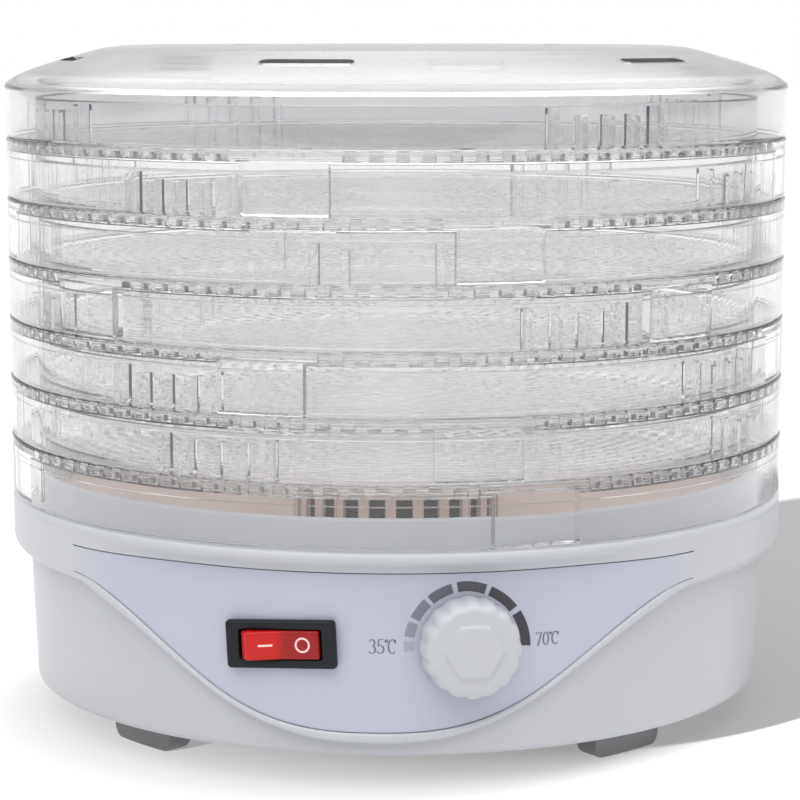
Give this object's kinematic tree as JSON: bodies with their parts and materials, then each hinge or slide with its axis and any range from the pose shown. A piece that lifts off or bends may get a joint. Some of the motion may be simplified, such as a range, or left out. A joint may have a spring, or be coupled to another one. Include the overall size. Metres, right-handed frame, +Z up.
{
  "type": "food dehydrator",
  "caption": "Round worktop food dehydrator: a fan-heated base with rocker switch and temperature knob, a stack of nesting clear mesh trays and a vented clear lid.",
  "frame": {"origin": "middle of the base on the plane under the feet", "axes": "+Z up along the axis of the stack, -Y towards the front with the controls, +X to the right seen from the front"},
  "size_m": [0.245, 0.2511, 0.208],
  "materials": {
    "housing": "satin white moulded plastic",
    "clear": "clear glossy polystyrene",
    "deck": "heat-resistant moulded plastic",
    "cover": "fine textured moulded plastic",
    "feet": "satin moulded plastic",
    "label": "printed satin film",
    "black": "satin black nylon",
    "red": "clear red gloss",
    "steel": "zinc plated",
    "lamination": "dull stamped laminations",
    "brass": "plain",
    "winding": "taped copper winding",
    "mica": "mica board",
    "nichrome": "coiled resistance wire",
    "ceramic": "glazed ceramic",
    "sleeve": "glass-fibre sleeve"
  },
  "bodies": {
    "base": {"air_deck": "deck", "base_housing": "housing", "bottom_cover": "cover", "control_label": "label", "cord_clamp": "cover", "cord_gland": "black", "cover_screw_front_left": "steel", "cover_screw_front_right": "steel", "cover_screw_rear_left": "steel", "cover_screw_rear_right": "steel", "foot_front_left": "feet", "foot_front_right": "feet", "foot_rear_left": "feet", "foot_rear_right": "feet", "heater_coil": "nichrome", "heater_frame": "mica", "lead_mains_motor": "sleeve", "lead_mains_switch": "sleeve", "lead_switch_thermostat": "sleeve", "lead_thermostat_heater": "sleeve", "motor_bearing_lower": "brass", "motor_bearing_upper": "brass", "motor_bracket_lower": "steel", "motor_bracket_upper": "steel", "motor_coil": "winding", "motor_screw_left": "steel", "motor_screw_right": "steel", "motor_stator": "lamination", "switch_case": "black", "switch_terminal_live": "brass", "switch_terminal_load": "brass", "terminal_block": "ceramic", "thermal_fuse": "ceramic", "thermostat_body": "black", "thermostat_nut": "brass", "thermostat_terminal_in": "brass", "thermostat_terminal_out": "brass", "vent_cage": "deck"},
    "fan": {"motor_rotor": "lamination", "motor_shaft": "steel", "fan_impeller": "black", "fan_clip": "steel"},
    "knob": {"control_knob": "housing", "thermostat_shaft": "steel"},
    "rocker": {"switch_rocker": "red"},
    "lid": {"lid": "clear"},
    "tray_1": {"tray_1": "clear", "tray_1_floor": "clear"},
    "tray_2": {"tray_2": "clear", "tray_2_floor": "clear"},
    "tray_3": {"tray_3": "clear", "tray_3_floor": "clear"},
    "tray_4": {"tray_4": "clear", "tray_4_floor": "clear"},
    "tray_5": {"tray_5": "clear", "tray_5_floor": "clear"},
    "tray_6": {"tray_6": "clear", "tray_6_floor": "clear"}
  },
  "joints": [
    {"name": "fan_spin", "type": "hinge", "parent": "base", "child": "fan", "pos_m": [0, 0, 0.045], "axis": [0, 0, 1], "continuous": true},
    {"name": "knob_turn", "type": "hinge", "parent": "base", "child": "knob", "pos_m": [0.02599, -0.11531, 0.0425], "axis": [-0.2198, 0.9755, 0], "range_deg": [0, 187]},
    {"name": "rocker_tip", "type": "hinge", "parent": "base", "child": "rocker", "pos_m": [-0.02612, -0.11589, 0.042], "axis": [0, 0, -1], "range_deg": [0, 16]},
    {"name": "tray_6_lift", "type": "slide", "parent": "base", "child": "tray_6", "axis": [0, 0, 1], "range_m": [0, 0.03]},
    {"name": "tray_5_lift", "type": "slide", "parent": "tray_6", "child": "tray_5", "axis": [0, 0, 1], "range_m": [0, 0.03]},
    {"name": "tray_4_lift", "type": "slide", "parent": "tray_5", "child": "tray_4", "axis": [0, 0, 1], "range_m": [0, 0.03]},
    {"name": "tray_3_lift", "type": "slide", "parent": "tray_4", "child": "tray_3", "axis": [0, 0, 1], "range_m": [0, 0.03]},
    {"name": "tray_2_lift", "type": "slide", "parent": "tray_3", "child": "tray_2", "axis": [0, 0, 1], "range_m": [0, 0.03]},
    {"name": "tray_1_lift", "type": "slide", "parent": "tray_2", "child": "tray_1", "axis": [0, 0, 1], "range_m": [0, 0.03]},
    {"name": "lid_lift", "type": "slide", "parent": "tray_1", "child": "lid", "axis": [0, 0, 1], "range_m": [0, 0.03]}
  ]
}
